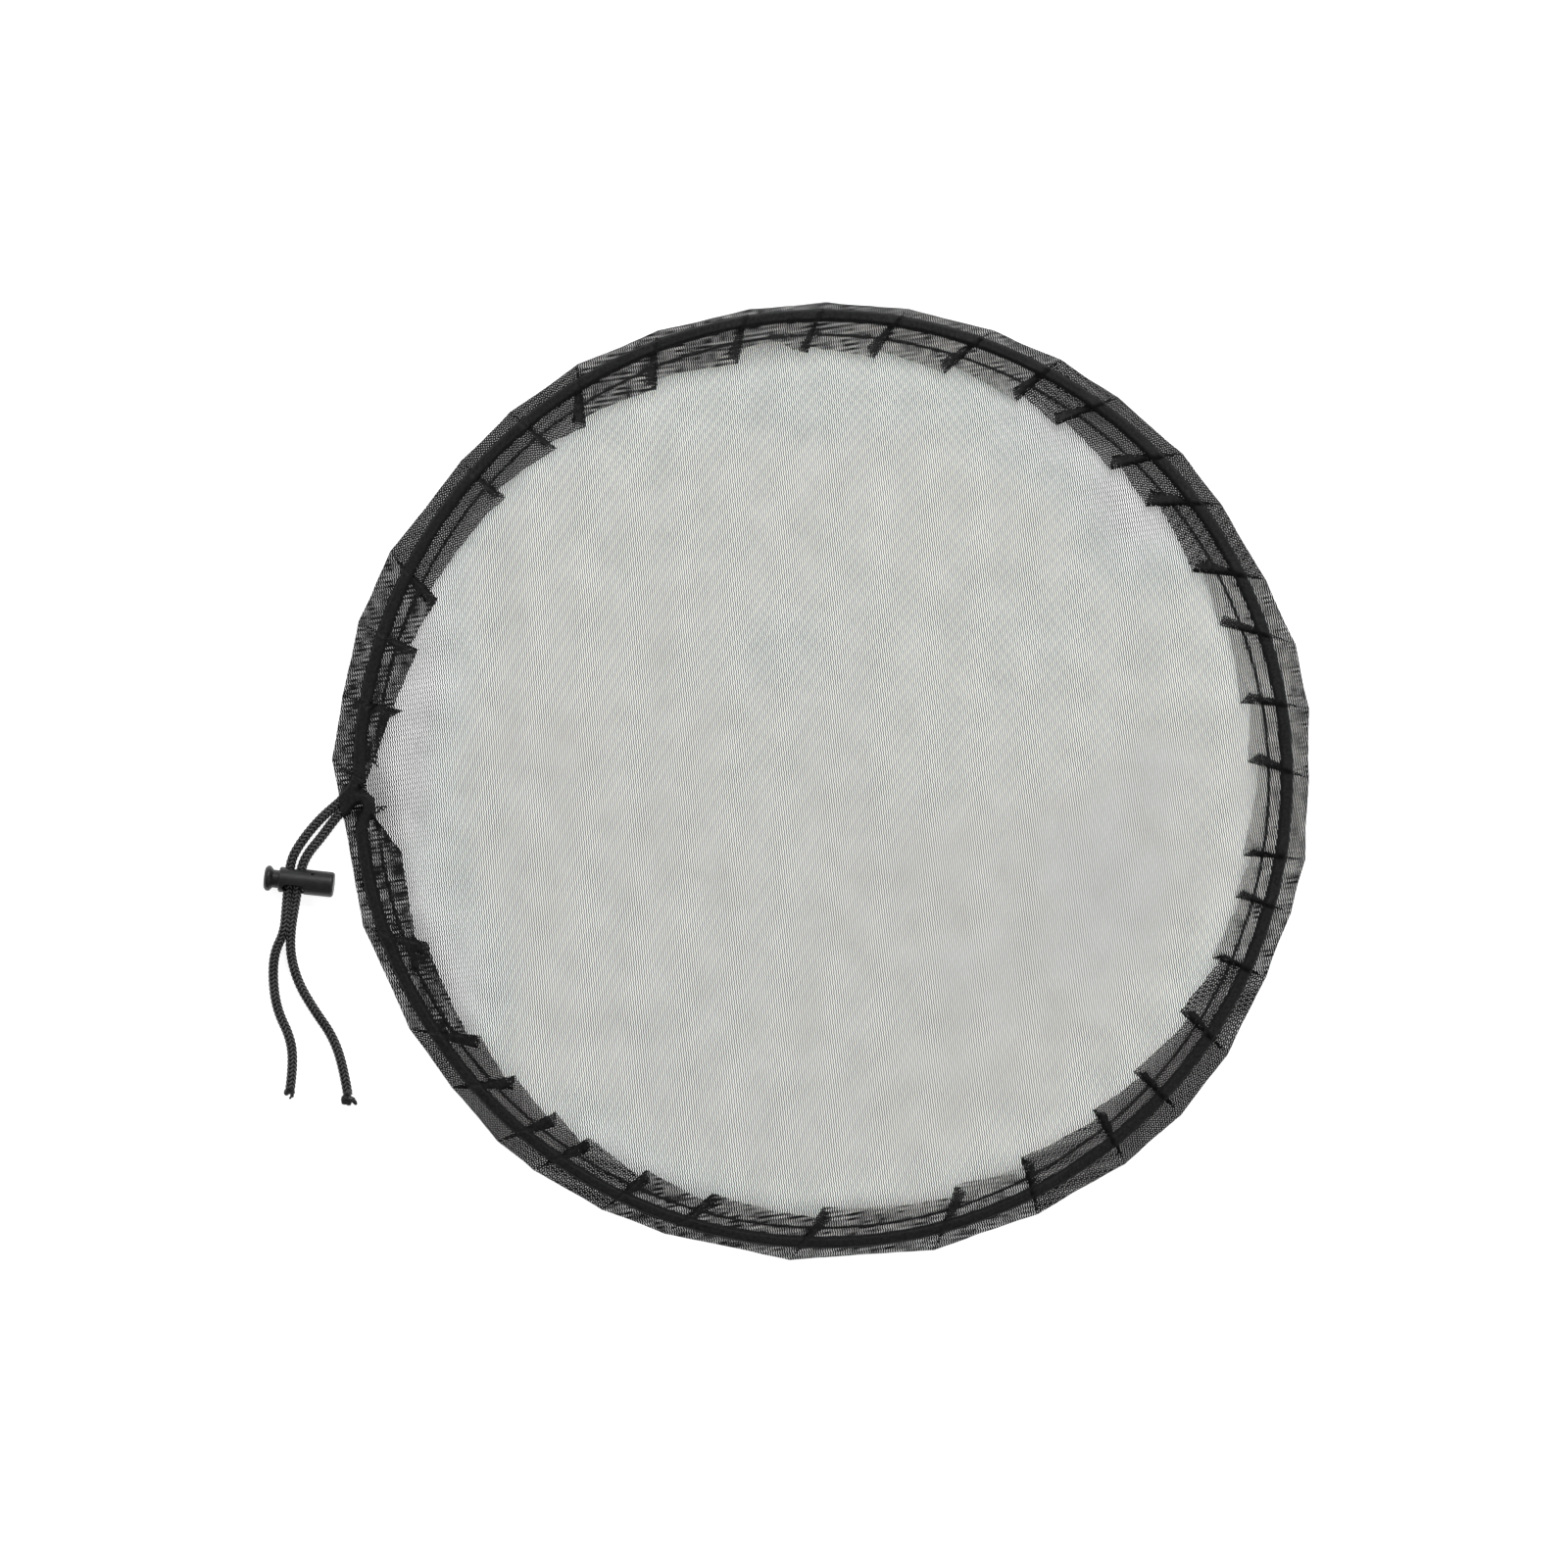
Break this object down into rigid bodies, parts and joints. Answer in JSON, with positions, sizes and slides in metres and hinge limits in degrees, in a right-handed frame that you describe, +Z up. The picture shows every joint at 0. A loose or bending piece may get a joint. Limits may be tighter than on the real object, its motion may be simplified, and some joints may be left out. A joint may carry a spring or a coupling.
{
  "type": "round net cover with drawcord",
  "caption": "Round black knitted net cover with a gathered hem, a braided drawcord in the hem and a push-button cord lock.",
  "frame": {"origin": "centre of the net's underside, which lies on the ground", "axes": "+Z up, out of the side that the hem is turned onto; the cord leaves at -X and its tails run towards -Y"},
  "size_m": [0.3994, 0.373, 0.0097],
  "materials": {
    "net": "fine black warp-knitted polyester net, see-through",
    "seam_thread": "black sewing thread",
    "cord": "black braided polyester cord",
    "melted_tip": "melted cord end",
    "lock_plastic": "satin black moulded plastic",
    "spring_steel": "plain spring wire"
  },
  "bodies": {
    "cover": {"net_panel": "net", "gathered_hem": "net", "hem_stitching": "seam_thread", "drawcord_ring": "cord", "drawcord_left": "cord", "drawcord_right": "cord", "cord_tip_left": "melted_tip", "cord_tip_right": "melted_tip"},
    "lock": {"lock_barrel": "lock_plastic", "lock_spring": "spring_steel"},
    "plunger": {"lock_plunger": "lock_plastic"}
  },
  "joints": [
    {"name": "lock_slide", "type": "slide", "parent": "cover", "child": "lock", "axis": [-0.1045, -0.9945, 0], "range_m": [0, 0.01]},
    {"name": "plunger_press", "type": "slide", "parent": "lock", "child": "plunger", "axis": [0.9945, -0.1045, 0], "range_m": [0, 0.0015], "stiffness_N_per_m": 600, "springref_m": -0.005, "deforming": ["lock_spring"]}
  ]
}
